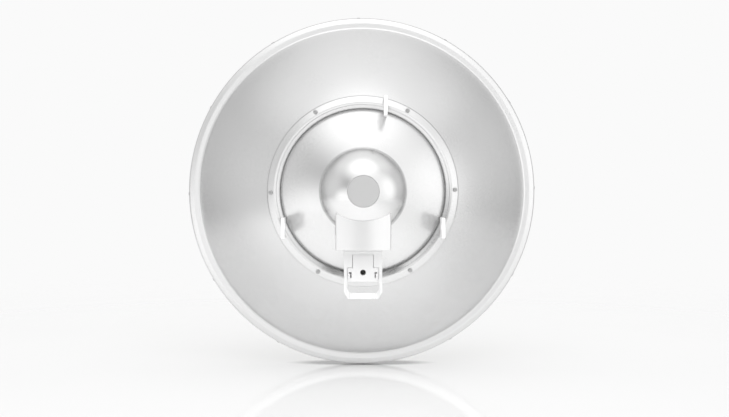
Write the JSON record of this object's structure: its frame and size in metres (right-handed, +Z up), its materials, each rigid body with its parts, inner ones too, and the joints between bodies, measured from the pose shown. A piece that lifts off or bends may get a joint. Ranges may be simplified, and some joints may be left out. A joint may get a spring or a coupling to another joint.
{
  "type": "dish antenna",
  "caption": "Point-to-point dish antenna: two-panel reflector with rim band, visor, radome and rear housing, tilting on a pole bracket.",
  "frame": {"origin": "centre of the flat land on the back of the pole bracket's lower bar, where a pole bears", "axes": "+Y along the dish's boresight at rest, away from the pole; +Z up; +X to the right seen from behind"},
  "size_m": [0.65, 0.3081, 0.65],
  "materials": {
    "reflector_paint": "satin silver paint",
    "housing_paint": "satin silver paint",
    "brushed_band": "brushed round the circumference",
    "radome_plastic": "matte warm white",
    "white_plastic": "satin white moulding",
    "dark_plastic": "matte dark grey moulding",
    "fastener": "plain steel"
  },
  "bodies": {
    "pole_bracket": {"bracket_neck": "white_plastic", "left_cheek": "white_plastic", "right_cheek": "white_plastic", "left_clamp_bolt": "white_plastic", "right_clamp_bolt": "white_plastic", "clamp_arm": "white_plastic", "pole_frame": "white_plastic", "clamp_tongue": "white_plastic"},
    "dish_head": {"outer_reflector": "reflector_paint", "inner_reflector": "reflector_paint", "rim_band": "brushed_band", "visor": "brushed_band", "radome": "radome_plastic", "back_ring": "reflector_paint", "ring_bolt_1": "fastener", "ring_bolt_2": "fastener", "ring_bolt_3": "fastener", "ring_bolt_4": "fastener", "ring_bolt_5": "fastener", "ring_bolt_6": "fastener", "top_lug": "white_plastic", "left_lug": "white_plastic", "right_lug": "white_plastic", "rear_dome": "housing_paint", "dome_cap": "housing_paint", "shroud": "white_plastic", "shroud_liner": "dark_plastic", "left_pivot_pin": "white_plastic", "right_pivot_pin": "white_plastic"}
  },
  "joints": [
    {"name": "tilt", "type": "hinge", "parent": "pole_bracket", "child": "dish_head", "pos_m": [0, -0.0035, 0.1115], "axis": [1, 0, 0], "range_deg": [0, 20]}
  ]
}
